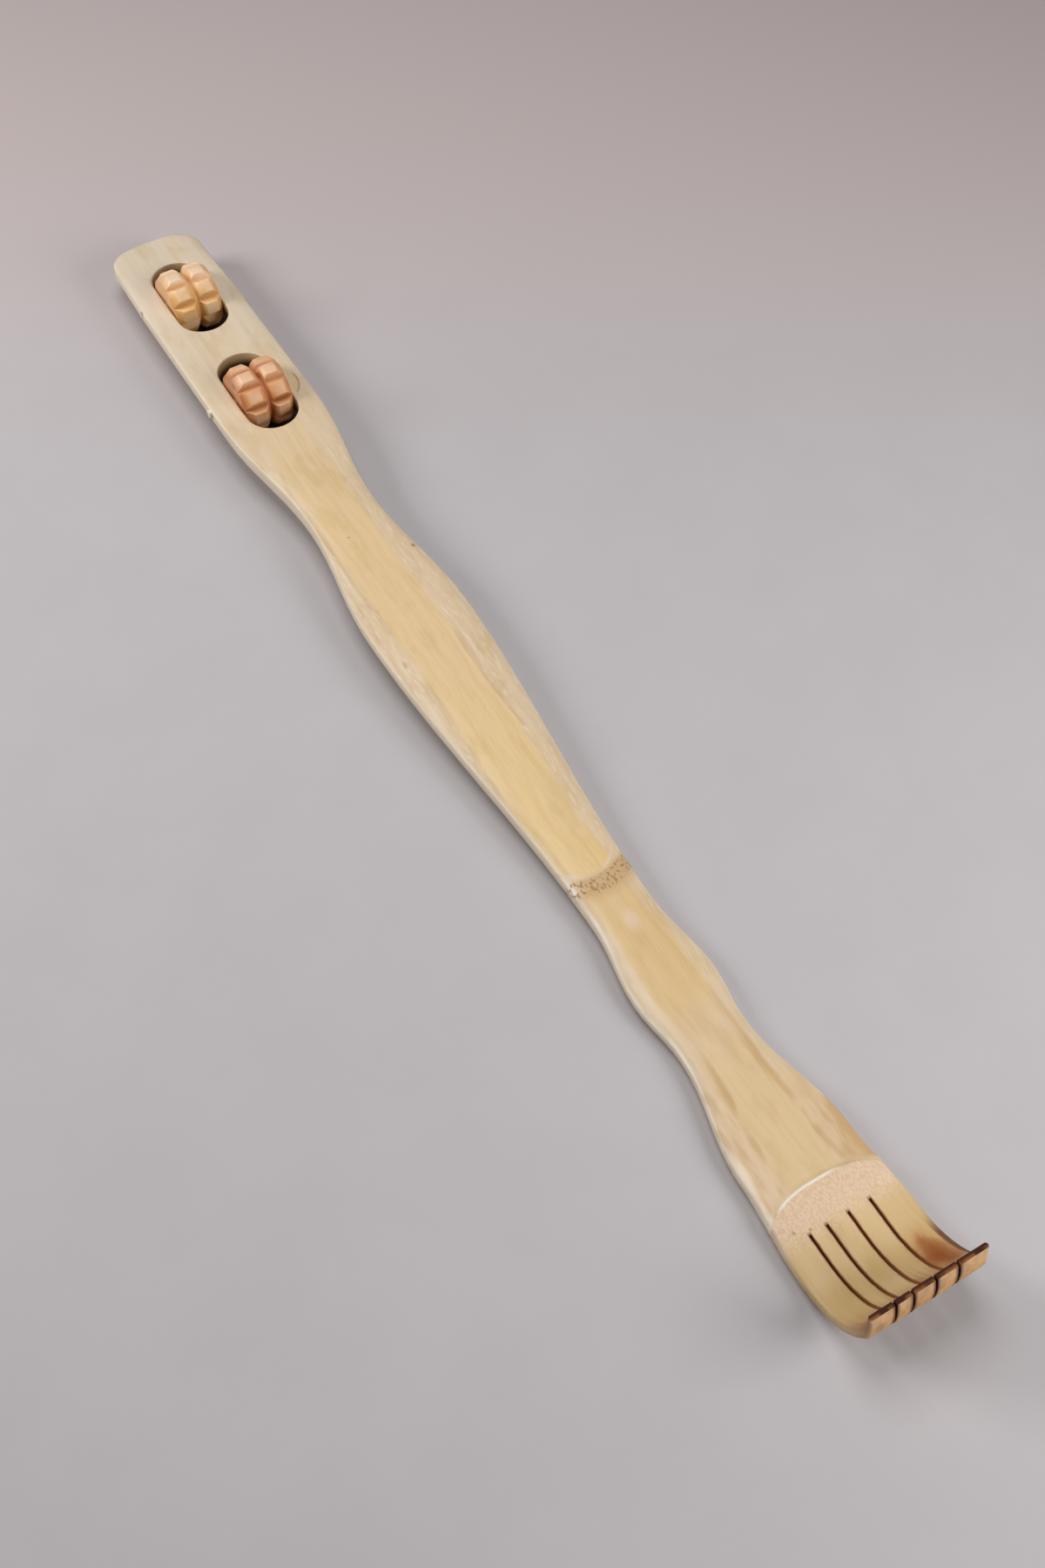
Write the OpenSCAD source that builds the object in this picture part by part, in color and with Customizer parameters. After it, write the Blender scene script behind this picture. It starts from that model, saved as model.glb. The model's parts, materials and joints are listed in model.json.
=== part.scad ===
// Bamboo back scratcher with a bent claw head and two knobbed massage rollers.
// X runs from the roller end to the claws, Y across the strip along the axles, Z up.
// The origin is under the middle of the object, on the surface it lies on.

/* [Strip] */
// Thickness of the strip at the roller end
end_t = 8; // [5:0.1:10]
// Thickness of the strip at the palm
palm_t = 5.4; // [4:0.1:7]
// Thickness of the claws where their outer bevel starts
claw_t = 4.2; // [3:0.1:5]
// Thickness of the claws at their tips
tip_t = 1.5; // [1.2:0.1:2.6]
// Radius of the bamboo stem that the strip is split from
stem_r = 80; // [60:1:140]
// Share of the stem's round that is pressed out of the head
press_share = 0.65; // [0.3:0.05:0.9]
// Rounding of the long edges
edge_r = 0.8; // [0.3:0.1:1.2]
// Drop of the pared shoulders at the edge of the grip
shoulder_drop = 1.5; // [0.4:0.1:2]
// Drop of the softened edges at the roller end and the head
flat_drop = 0.6; // [0.2:0.1:1.2]
// Share of the half width that the pared shoulder takes
shoulder_share = 0.45; // [0.3:0.05:0.6]
// Power of the shoulder's curve: 1 is a straight bevel, 2 a round one
shoulder_power = 1.5; // [1:0.1:2.5]
// Depth of the flat that the palm rests on, below the round of its underside
rest_depth = 0.3; // [0.1:0.05:0.6]

/* [Outline] */
// Width of the strip at its very end
nose_w = 34.8; // [30:0.2:42]
// Length over which the end tapers
nose_l = 40; // [20:1:60]
// Width of the roller end
end_w = 36.6; // [32:0.2:44]
// Length of the roller end up to where it narrows
end_l = 108; // [100:1:130]
// Corner radius of the roller end
corner_r = 7.5; // [3:0.5:12]
// Width of the waist under the rollers
waist_w = 25; // [20:0.2:30]
// Distance from the roller end's shoulder to the waist
waist_l = 53; // [40:1:75]
// Width of the belly of the grip
belly_w = 35.8; // [28:0.2:40]
// Distance from the waist to the belly
belly_l = 53; // [35:1:75]
// Width of the neck, the narrowest place
neck_w = 20.2; // [16:0.2:26]
// Distance from the belly to the neck
neck_l = 126; // [90:1:160]
// Width of the carved ring below the neck
ring_w = 26.8; // [20:0.2:32]
// Distance from the neck to the ring
ring_l = 28; // [18:0.5:40]
// Width of the throat above the palm
throat_w = 22.6; // [18:0.2:28]
// Distance from the ring to the throat
throat_l = 19.5; // [12:0.5:30]
// Width of the palm
palm_w = 35.2; // [30:0.2:44]
// Distance from the throat to the palm
palm_l = 39.5; // [28:0.5:60]
// Distance from the palm to the start of the bend
heel_l = 29.5; // [24:0.5:45]
// Width of the head where the fingers bend
head_w = 39.2; // [34:0.2:48]
// Width across the claw tips
claw_w = 37; // [32:0.2:46]

/* [Nodes of the stem] */
// Distance from the grip's neck back to the first stem node
node_back = 11; // [6:0.5:20]
// Distance from the palm to the second stem node
node_fore = 9.5; // [5:0.5:14]
// Height of the stem node's ridge
node_h = 0.45; // [0.1:0.05:0.8]
// Half length of the stem node's ridge
node_l = 3.2; // [2:0.2:5]
// Height of the shelf left at the second node
shelf_h = 0.7; // [0.2:0.1:1.2]
// Length over which the shelf runs out towards the fingers
shelf_l = 11; // [8:0.5:18]
// How far the shelf's front edge falls back at the sides
shelf_bow = 3; // [0:0.5:6]

/* [Claws] */
// Inner radius of the bend
bend_r = 20.5; // [15:0.5:26]
// Angle through which the fingers are bent
bend_angle = 96; // [80:1:110]
// Angle of the bend at which the outer bevel of the claws starts
bevel_angle = 71; // [60:1:76]
// Angle of the bend at which the head starts to narrow towards the tips
narrow_angle = 32; // [10:1:60]
// Width of the saw cuts between the fingers
slit_w = 0.8; // [0.5:0.1:1.8]
// Distance from the start of the saw cuts to the bend
slit_l = 8.5; // [5:0.5:14]
// Place of the first saw cut, from the middle of the strip
slit_1 = -10.7; // [-12:0.1:-9.5]
// Place of the second saw cut
slit_2 = -5.2; // [-6.5:0.1:-4]
// Place of the third saw cut
slit_3 = 1.8; // [0.5:0.1:3]
// Place of the fourth saw cut
slit_4 = 8.9; // [7.5:0.1:10]

/* [Rollers] */
// Radius of the rollers over their knobs
roller_r = 12; // [10:0.25:14]
// Width of the flat crest of a bead
crest_w = 4.2; // [2.4:0.1:4.8]
// Width of a bead over its shoulders
bead_w = 6.4; // [5:0.1:7.4]
// Depth of the shoulders below the crest
bead_drop = 0.9; // [0.4:0.1:1.4]
// Depth of the groove between the beads
groove_d = 2.8; // [2:0.1:5]
// How far the groove sits off the roller's middle
groove_off = 0.6; // [-1:0.1:1]
// Depth of the slope at the roller's ends
slope_d = 1.8; // [1:0.1:3]
// Number of lengthwise notches round a roller
notches = 9; // [6:1:11]
// Depth of the notches
notch_d = 2.1; // [0.8:0.1:2.4]
// Turn of the upper roller's notches
upper_turn = 31; // [0:1:60]
// Turn of the lower roller's notches
lower_turn = 21; // [0:1:60]

/* [Windows and axles] */
// Length of the roller windows
window_l = 41.8; // [34:0.5:48]
// Width of the roller windows
window_w = 19; // [15:0.2:22]
// How far the windows sit off the middle of the strip
window_off = 0.6; // [-2:0.1:2]
// Chamfer round the upper rim of the windows
rim_c = 0.5; // [0.2:0.1:1]
// Distance from the end of the strip to the upper axle
upper_l = 35; // [32:0.5:42]
// How far the upper window is cut past its axle
upper_off = 1.6; // [0:0.1:3]
// Distance between the two axles
axle_l = 60; // [54:0.5:66]
// Gap between a roller's end and the window's side
side_gap = 0.4; // [0.3:0.1:1.5]
// Depth of the axles below the upper face of the strip
axle_depth = 2.5; // [2:0.1:4]
// Radius of the axle pins
pin_r = 1.5; // [1:0.1:2.2]
// Running clearance between an axle pin and its roller
pin_clear = 0.08; // [0.03:0.01:0.1]
// Glue line round an axle pin in the strip
pin_glue = 0.02; // [0.01:0.01:0.05]
// Bamboo left outside the blind end of an axle hole
pin_skin = 3; // [1.5:0.1:5]
// How far the lower axle pin stands out of the edge
pin_proud = 1; // [0:0.1:1.2]
// How far the upper axle pin is sunk below the edge
pin_sunk = 0.3; // [0:0.1:1]

/* [Hidden] */
bamboo = [0.86, 0.75, 0.60];
pale_wood = [0.86, 0.70, 0.52];
brown_wood = [0.70, 0.47, 0.34];
pin_wood = [0.88, 0.82, 0.72];
cut = 1;
$fn = 64;

// Places along the strip, from the roller end
waist_x = end_l + waist_l;
belly_x = waist_x + belly_l;
neck_x = belly_x + neck_l;
ring_x = neck_x + ring_l;
throat_x = ring_x + throat_l;
palm_x = throat_x + palm_l;
bend_x = palm_x + heel_l;
upper_x = upper_l;
lower_x = upper_l + axle_l;
node_1_x = neck_x - node_back;
node_2_x = palm_x + node_fore;
fall_x = lower_x + window_l / 2;

// The rollers lie on the ground, and so does the palm
axle_z = roller_r;
end_z = axle_z + axle_depth;
palm_z = palm_t - rest_depth;
bend_z = palm_z + bend_r;

// Spacing of the sections: along the grip, round the carved waists, over a stem node and in the bend
long_step = 7;
short_step = 4.5;
ridge_step = 1;
turn_step = 7;

// Smooth step from 0 at a to 1 at b
function ease(x, a, b) = x <= a ? 0 : x >= b ? 1 : (1 - cos(180 * (x - a) / (b - a))) / 2;
function blend(p, q, k) = p + (q - p) * k;

// Places and widths along the straight part: end, waist, belly, neck, ring, throat, palm and head
WIDTHS = [[0, nose_w], [nose_l, end_w], [end_l, end_w], [waist_x, waist_w], [belly_x, belly_w],
          [neck_x, neck_w], [ring_x, ring_w], [throat_x, throat_w], [palm_x, palm_w], [bend_x, head_w]];
function swell(x, i = 0) =
    i >= len(WIDTHS) - 1 ? WIDTHS[i][1] / 2
    : x <= WIDTHS[i + 1][0]
        ? blend(WIDTHS[i][1], WIDTHS[i + 1][1], ease(x, WIDTHS[i][0], WIDTHS[i + 1][0])) / 2
        : swell(x, i + 1);
function corner(x) = x >= corner_r ? 0 : corner_r - sqrt(pow(corner_r, 2) - pow(corner_r - x, 2));
function half_w(x) = swell(x) - corner(x);

// Height of the upper face, thickness and shoulder along the straight part
function fall(x) = ease(x, fall_x, palm_x);
function top_z(x) = blend(end_z, palm_z, fall(x));
function thick(x) = blend(end_t, palm_t, fall(x));
function grip(x) = ease(x, fall_x, waist_x) * (1 - ease(x, ring_x, palm_x));
function drop(x) = blend(flat_drop, shoulder_drop, grip(x));
function arch(x) = 1 - press_share * ease(x, throat_x, palm_x);

// Ridge of a stem node, and the shelf that is left on the upper face of the second one
function ridge(x, at) = abs(x - at) >= node_l ? 0 : node_h * (1 + cos(180 * (x - at) / node_l)) / 2;
function shelf(x, y, w) =
    shelf_h * ease(x - shelf_bow * pow(y / w, 2), node_2_x - node_l / 2, node_2_x)
    * (1 - ease(x, node_2_x + node_l, node_2_x + shelf_l));
function upper(x, y, w, fallen) =
    let (flat_w = w * (1 - shoulder_share))
    ridge(x, node_1_x) + shelf(x, y, w)
    - (abs(y) <= flat_w ? 0 : fallen * pow((abs(y) - flat_w) / (w - flat_w), shoulder_power));
function under(x, y, t, arch) =
    -t - ridge(x, node_1_x) - ridge(x, node_2_x) + arch * pow(y, 2) / (2 * stem_r);

// One cross-section as [y, height over the upper face], round the strip from its left edge
flat_share = 1 - shoulder_share;
HALF = [flat_share / 2, flat_share, (1 + flat_share) / 2];
TOP = concat([for (i = [2:-1:0]) -HALF[i]], [0], HALF);
UNDER = [for (i = [2:-1:-2]) i / 3];
function section(x, w, t, fallen, arch) =
    let (e = min(edge_r, t / 3),
         in_w = w - e,
         hi = upper(x, in_w, w, fallen),
         lo = min(under(x, in_w, t, arch), hi - 3 * e))
    concat([[-in_w, hi]],
           [for (k = TOP) [k * w, upper(x, k * w, w, fallen)]],
           [[in_w, hi], [w, hi - e], [w, lo + e], [in_w, lo]],
           [for (k = UNDER) [k * w, under(x, k * w, t, arch)]],
           [[-in_w, lo], [-w, lo + e], [-w, hi - e]]);

// Straight part: sections stand square to X
function straight_ring(x) =
    [for (p = section(x, half_w(x), thick(x), drop(x), arch(x))) [x, p[0], top_z(x) + p[1]]];

// Bend: sections turn about the bend's axis, and the claws are bevelled outside
function bend_t(a) = a <= bevel_angle
    ? blend(palm_t, claw_t, a / bevel_angle)
    : blend(claw_t, tip_t, (a - bevel_angle) / (bend_angle - bevel_angle));
function bend_w(a) = blend(head_w, claw_w, ease(a, narrow_angle, bend_angle)) / 2;
function bend_ring(a) =
    let (left = 1 - a / bend_angle)
    [for (p = section(bend_x, bend_w(a), bend_t(a), flat_drop * left, (1 - press_share) * left))
        [bend_x + (bend_r - p[1]) * sin(a), p[0], bend_z - (bend_r - p[1]) * cos(a)]];

// Stations along the strip: close together where the form turns quickly
function steps(a, b, step) = let (n = ceil((b - a) / step)) [for (i = [0:n - 1]) blend(a, b, i / n)];
STATIONS = concat(
    [for (turn = [0:15:75]) corner_r * (1 - cos(turn))],
    steps(corner_r, end_l, 2 * long_step),
    steps(end_l, node_1_x - node_l, long_step),
    steps(node_1_x - node_l, node_1_x + node_l, ridge_step),
    steps(node_1_x + node_l, neck_x, short_step),
    steps(neck_x, node_2_x - node_l, short_step),
    steps(node_2_x - node_l, node_2_x + node_l, ridge_step),
    steps(node_2_x + node_l, bend_x, short_step));
BENDS = concat(steps(0, bevel_angle, turn_step), steps(bevel_angle, bend_angle, turn_step), [bend_angle]);
RINGS = concat([for (x = STATIONS) straight_ring(x)], [for (a = BENDS) bend_ring(a)]);
// Middle of the length, so that the origin lies under the middle of the object
mid_x = max([for (r = RINGS) max([for (p = r) p[0]])]) / 2;

// Closed skin over a row of rings with as many points each, its ends fanned from their middles
function middle(ring) = [for (k = [0:2]) max([for (p = ring) p[k]]) / 2 + min([for (p = ring) p[k]]) / 2];
module loft(rings) {
    n = len(rings[0]);
    last = (len(rings) - 1) * n;
    tail = len(rings) * n;
    polyhedron(
        points = concat([for (r = rings) each r], [middle(rings[0]), middle(rings[len(rings) - 1])]),
        faces = concat(
            [for (j = [0:n - 1]) [(j + 1) % n, j, tail]],
            [for (j = [0:n - 1]) [last + j, last + (j + 1) % n, tail + 1]],
            [for (i = [0:len(rings) - 2], j = [0:n - 1])
                let (a = i * n + j, b = i * n + (j + 1) % n)
                each [[a, b, b + n], [a, b + n, a + n]]]));
}

// Round-ended window through the roller end, with a chamfered upper rim
module window(x) {
    straight = window_l - window_w;
    r = window_w / 2;
    rim_z = end_z - rim_c;
    translate([x, window_off, 0]) {
        for (side = [-1, 1])
            translate([side * straight / 2, 0, 0]) {
                cylinder(r = r, h = end_z + cut);
                translate([0, 0, rim_z])
                    cylinder(r1 = r, r2 = r + rim_c + cut, h = rim_c + cut);
            }
        rotate([90, 0, 90])
            linear_extrude(straight, center = true)
                polygon([[-r, 0], [r, 0], [r, rim_z], [r + rim_c + cut, end_z + cut],
                         [-r - rim_c - cut, end_z + cut], [-r, rim_z]]);
    }
}

// Round bar along Y from y0 to y1
module cross_bar(x, r, y0, y1) {
    translate([x, y0, axle_z])
        rotate([-90, 0, 0])
            cylinder(r = r, h = y1 - y0);
}

// Blind end of an axle hole in the right-hand wall of the strip
function seat_y(x) = half_w(x) - pin_skin;

module saw_cut(y) {
    translate([bend_x - slit_l, y - slit_w / 2, -cut])
        cube([slit_l + bend_r + palm_t + cut, slit_w, bend_z + bend_r + 2 * cut]);
}

// Flat that the palm rests on
module rest_cut() {
    translate([throat_x, -head_w, -palm_t])
        cube([bend_x + bend_r - throat_x, 2 * head_w, palm_t]);
}

module handle() {
    color(bamboo)
        translate([-mid_x, 0, 0])
            difference() {
                loft(RINGS);
                window(upper_x + upper_off);
                window(lower_x);
                for (x = [upper_x, lower_x])
                    cross_bar(x, pin_r + pin_glue, -end_w, seat_y(x));
                for (y = [slit_1, slit_2, slit_3, slit_4])
                    saw_cut(y);
                rest_cut();
            }
}

// Shoulders and crest of a bead round y, as [radius, y]
function bead(y) = [[roller_r - bead_drop, y - bead_w / 2], [roller_r, y - crest_w / 2],
                    [roller_r, y + crest_w / 2], [roller_r - bead_drop, y + bead_w / 2]];

// Turned roller of two beads, notched into rows of knobs and bored for its pin
module roller(turn) {
    half_l = window_w / 2 - side_gap;
    end_r = roller_r - slope_d;
    difference() {
        rotate([-90, 0, 0])
            rotate_extrude()
                polygon(concat([[0, -half_l], [end_r, -half_l]],
                               bead((groove_off - half_l) / 2),
                               [[roller_r - groove_d, groove_off]],
                               bead((groove_off + half_l) / 2),
                               [[end_r, half_l], [0, half_l]]));
        for (i = [0:notches - 1])
            rotate([0, -turn - 360 * i / notches, 0])
                translate([roller_r - notch_d, 0, 0])
                    rotate([0, 45, 0])
                        translate([0, -half_l - cut, 0])
                            cube([2 * notch_d, 2 * (half_l + cut), 2 * notch_d]);
        rotate([90, 0, 0])
            cylinder(r = pin_r + pin_clear, h = 2 * (half_l + cut), center = true);
    }
}

module upper_roller() {
    color(pale_wood)
        translate([upper_x - mid_x, window_off, axle_z])
            roller(upper_turn);
}

module lower_roller() {
    color(brown_wood)
        translate([lower_x - mid_x, window_off, axle_z])
            roller(lower_turn);
}

module upper_axle() {
    color(pin_wood)
        translate([-mid_x, 0, 0])
            cross_bar(upper_x, pin_r, pin_sunk - half_w(upper_x), seat_y(upper_x));
}

module lower_axle() {
    color(pin_wood)
        translate([-mid_x, 0, 0])
            cross_bar(lower_x, pin_r, -half_w(lower_x) - pin_proud, seat_y(lower_x));
}

handle();
upper_roller();
lower_roller();
upper_axle();
lower_axle();
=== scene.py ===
"""Bamboo back scratcher with two knobbed rollers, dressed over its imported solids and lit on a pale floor."""

import json
import math

import bpy
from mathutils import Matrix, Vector


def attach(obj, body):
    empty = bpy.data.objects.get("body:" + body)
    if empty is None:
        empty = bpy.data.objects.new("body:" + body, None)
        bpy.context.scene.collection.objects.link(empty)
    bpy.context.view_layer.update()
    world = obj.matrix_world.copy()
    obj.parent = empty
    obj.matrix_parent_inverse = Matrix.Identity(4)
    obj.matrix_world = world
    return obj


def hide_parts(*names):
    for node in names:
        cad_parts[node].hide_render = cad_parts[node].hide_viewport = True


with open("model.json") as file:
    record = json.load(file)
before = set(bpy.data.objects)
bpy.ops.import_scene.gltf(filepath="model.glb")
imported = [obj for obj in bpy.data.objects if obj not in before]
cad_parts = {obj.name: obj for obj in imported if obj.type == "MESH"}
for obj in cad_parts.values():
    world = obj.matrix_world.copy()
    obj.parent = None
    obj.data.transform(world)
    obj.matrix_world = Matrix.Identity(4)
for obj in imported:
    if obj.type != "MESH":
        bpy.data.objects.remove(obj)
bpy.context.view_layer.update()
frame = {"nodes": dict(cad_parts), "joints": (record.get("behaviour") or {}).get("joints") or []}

bl_info = {
    "name": "Back scratcher",
    "version": (1, 0, 0),
    "blender": (4, 5, 0),
    "location": "3D View > Sidebar > Scratcher",
    "description": "Models a bamboo back scratcher with rollers and its stage",
    "category": "Add Mesh",
}

MM = 0.001
ROLLERS = {"upper_roller": "pale_wood", "lower_roller": "brown_wood"}
PINS = ("upper_axle", "lower_axle")
STRIP_BODY = "strip"
FIBRE = "fibre"


def mm(*steps, past=0.0):
    """Places in metres, from millimetres past a start."""
    return [past + step * MM for step in steps]


def linear(level):
    """Light of one screen level, from 0 to 255."""
    share = level / 255
    return share / 12.92 if share <= 0.04045 else ((share + 0.055) / 1.055) ** 2.4


def shade(red, green, blue):
    """A colour for a socket, from its screen levels."""
    return (linear(red), linear(green), linear(blue), 1.0)


def length(name, description, default):
    """A property for a length in metres."""
    return bpy.props.FloatProperty(name=name, description=description, default=default, min=0.0,
                                   precision=5, unit="LENGTH", subtype="DISTANCE")


def place(name, description, default):
    """A property for a place along or across the strip, which may lie on either side of the middle."""
    return bpy.props.FloatProperty(name=name, description=description, default=default,
                                   precision=5, unit="LENGTH", subtype="DISTANCE")


def colour(name, description, *levels):
    """A property for a colour, from its screen levels."""
    return bpy.props.FloatVectorProperty(name=name, description=description, subtype="COLOR", size=4,
                                         min=0.0, max=1.0, default=shade(*levels))


def power(name, description, default):
    """A property for a lamp's power in watts."""
    return bpy.props.FloatProperty(name=name, description=description, default=default, min=0.0,
                                   unit="POWER")


def spot(name, description, default):
    """A property for a place in space."""
    return bpy.props.FloatVectorProperty(name=name, description=description, default=default, size=3,
                                         precision=5, subtype="TRANSLATION", unit="LENGTH")


class ScratcherSizes(bpy.types.PropertyGroup):
    """Places and softness of the pieces, in the frame of the solids."""

    bend_start: place("Bend start", "Place along the strip where the fingers start to bend", 216.5 * MM)
    bend_radius: length("Bend radius", "Inner radius of the bent fingers", 20.5 * MM)
    bend_height: length("Bend height", "Height of the axis that the fingers are bent about", 25.6 * MM)
    slit_start: place("Slit start", "Place along the strip where the saw cuts start", 207.5 * MM)
    slits: bpy.props.FloatVectorProperty(
        name="Saw cuts", description="Places across the strip of the saw cuts", size=4,
        default=mm(-10.7, -5.2, 1.8, 8.9), precision=5, unit="LENGTH")
    window_start: place("Windows' start", "Place along the strip where the roller windows start", -230.0 * MM)
    window_end: place("Windows' end", "Place along the strip where the roller windows end", -113.0 * MM)
    window_middle: place("Windows' middle", "Place across the strip of the roller windows", 0.6 * MM)
    window_half: length("Windows' half width", "Half the width of the windows with their rims", 10.2 * MM)
    band_left: place("Band's left edge", "Place across the strip of the yellow band's left edge", -11.0 * MM)
    band_right: place("Band's right edge", "Place across the strip of the yellow band's right edge", 6.3 * MM)
    first_node: place("First node", "Place along the strip of the stem's first node", 86.2 * MM)
    second_node: place("Second node", "Place along the strip of the stem's second node", 196.4 * MM)
    shelf_half: length("Shelf's half width", "Half the width over which the second node bows", 16.5 * MM)
    shelf_bow: length("Shelf's bow", "How far the second node's ends lie on towards the claws", 3.4 * MM)
    merge: length("Merge distance", "Distance under which points of a solid's copy become one", 0.001 * MM)
    knob_round: length("Knob rounding", "Rounding of the rollers' knobs", 1.3 * MM)
    pin_round: length("Pin rounding", "Rounding of the pins' ends", 0.4 * MM)


class ScratcherColours(bpy.types.PropertyGroup):
    """Colours of the finishes, and the glazes that darken them."""

    roller_end: colour("Roller end", "Bamboo round the rollers", 224, 207, 184)
    band: colour("Inner wall", "Yellow inner wall along the grip", 229, 199, 151)
    band_high: colour("Upper wall", "Deeper yellow wall above the first node", 228, 197, 140)
    band_low: colour("Lower wall", "Browner wall below the first node", 219, 187, 134)
    palm: colour("Palm", "Pinkish wall on both sides of the palm", 221, 193, 156)
    palm_middle: colour("Palm, middle", "Yellower wall along the middle of the palm", 220, 191, 145)
    fingers: colour("Fingers", "Wall inside the bent fingers", 203, 172, 119)
    pared: colour("Pared edges", "Pale pared bands along the edges", 224, 200, 166)
    edge: colour("Edge faces", "Cut faces along the edges", 234, 217, 192)
    # Painted sheen on the left shoulder, also used for pale flecks, the palm's left margin and a highlight on
    # the claws
    sheen_and_flecks: colour("Left shoulder", "Sanded shoulder along the left edge", 238, 222, 200)
    node_rough: colour("Rough node", "Rough pale wood of the second node", 228, 201, 173)
    # Painted highlight, on the second node's ridge and along the left arris
    ridge_highlight: colour("Node line", "Bright ridge of the second node", 252, 246, 234)
    speck: colour("Specks", "Brown dots of the first node", 150, 108, 58)
    vein: colour("Veins", "Brown grain lines beside the band", 195, 157, 106)
    streak_glaze: colour("Streak glaze", "Broad streaks of the inner wall", 226, 212, 196)
    fibre_glaze: colour("Fibre glaze", "Fine fibres of the inner wall", 226, 212, 192)
    patch_glaze: colour("Patch glaze", "Greener patches of the inner wall", 234, 224, 192)
    grit_glaze: colour("Grit glaze", "Grit of the second node", 232, 214, 190)
    skin: colour("Skin", "Outer skin of the bamboo", 207, 178, 122)
    skin_streak_glaze: colour("Skin streak glaze", "Broad streaks of the skin", 222, 204, 176)
    skin_fibre_glaze: colour("Skin fibre glaze", "Fine fibres of the skin", 216, 196, 168)
    claw: colour("Claws", "Bevelled outside of the claws", 238, 180, 104)
    scorch: colour("Scorch", "Red-brown scorch of the right finger", 142, 70, 12)
    toast: colour("Toast", "Golden brown round the scorch", 184, 122, 56)
    # Painted light and shade: the window walls run from this olive at the top to the dark colour below low
    # down
    rim: colour("Window rims", "Olive walls high in the roller windows", 214, 186, 136)
    # Painted shade low in the roller windows
    recess_shade: colour("Window depth", "Browned walls low in the roller windows", 62, 30, 14)
    burnt: colour("Burnt cuts", "Dark brown of the tips", 58, 24, 12)
    burnt_light: colour("Burnt cuts, light", "Lighter fibres of the tips", 146, 88, 44)
    char: colour("Browned rims", "Browned rims of the saw cuts", 98, 50, 24)
    saw: colour("Saw cuts", "Browned walls of the saw cuts", 190, 120, 66)
    pale_light: colour("Pale roller, light", "Sapwood of the upper roller", 240, 205, 167)
    # Golden growth rings, and painted shade and bounced light on the upper roller's side towards the claws
    pale_rings_and_shade: colour("Pale roller, dark", "Golden heartwood of the upper roller", 234, 178, 96)
    # Lighter crests of the upper roller's knobs: wear and painted sheen
    pale_worn_and_sheen: colour("Pale roller, worn", "Worn knobs of the upper roller", 248, 219, 190)
    # Painted shade in the notches and groove of the upper roller
    pale_notch_shade: colour("Pale roller, notches", "Notches and groove of the upper roller", 222, 162, 102)
    brown_light: colour("Brown roller, light", "Sapwood of the lower roller", 230, 176, 130)
    # Golden growth rings, and painted shade and bounced light on the lower roller's side towards the claws
    brown_rings_and_shade: colour("Brown roller, dark", "Golden heartwood of the lower roller", 224, 154, 92)
    # Lighter crests of the lower roller's knobs: wear and painted sheen
    brown_worn_and_sheen: colour("Brown roller, worn", "Worn knobs of the lower roller", 240, 202, 168)
    # Painted shade in the notches and groove of the lower roller
    brown_notch_shade: colour("Brown roller, notches", "Notches and groove of the lower roller", 176, 100, 54)
    pore_glaze: colour("Pore glaze", "Pores of both rollers", 214, 190, 162)
    pin: colour("Pin", "Raw bamboo of the pins", 236, 226, 206)
    floor: colour("Floor", "Plain pale floor", 192, 187, 189)
    floor_shade: colour("Floor, mottled", "Faint mottling of the floor", 190, 185, 187)
    # Painted light: the floor's tone is warmer far off
    floor_far_painted_light: colour("Floor, far", "Warmer floor beyond the rollers", 197, 184, 183)
    # Painted shadow on the floor under the roller windows
    floor_painted_shadow: colour("Floor, under", "Shaded floor under the roller windows", 74, 58, 50)


class ScratcherStage(bpy.types.PropertyGroup):
    """Floor, lights and camera."""

    floor_size: length("Floor size", "Side of the floor", 6.0)
    floor_drop: length("Floor drop", "How far the floor lies under the scratcher", 0.1 * MM)
    lamp_size: length("Lamp size", "Side of each side lamp", 0.35)
    top_size: length("Top lamp size", "Side of the soft lamp overhead", 0.5)
    top_power: power("Top lamp", "Power of the soft lamp overhead", 3.7)
    top_from: spot("Top lamp place", "Where the lamp overhead hangs", (-0.2, 0.0, 0.9))
    left_power: power("Left lamp", "Power of the soft lamp beside the rollers", 3.9)
    left_from: spot("Left lamp place", "Where the lamp beside the rollers hangs", (-0.45, -0.60, 0.45))
    right_power: power("Right lamp", "Power of the soft lamp beside the claws", 2.8)
    right_from: spot("Right lamp place", "Where the lamp beside the claws hangs", (0.50, 0.36, 0.38))
    sky: bpy.props.FloatProperty(name="Sky", description="Light that comes from all round", default=0.05)
    eye: spot("Camera place", "Where the photograph was taken from", (0.30876, -0.15829, 0.44900))
    aim: bpy.props.FloatVectorProperty(name="Camera direction", description="Where the camera looks", size=3,
                                       default=(-0.48772, 0.28956, -0.82360), subtype="DIRECTION")
    lens: bpy.props.FloatProperty(name="Lens", description="Focal length in millimetres", default=40.0)


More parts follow.
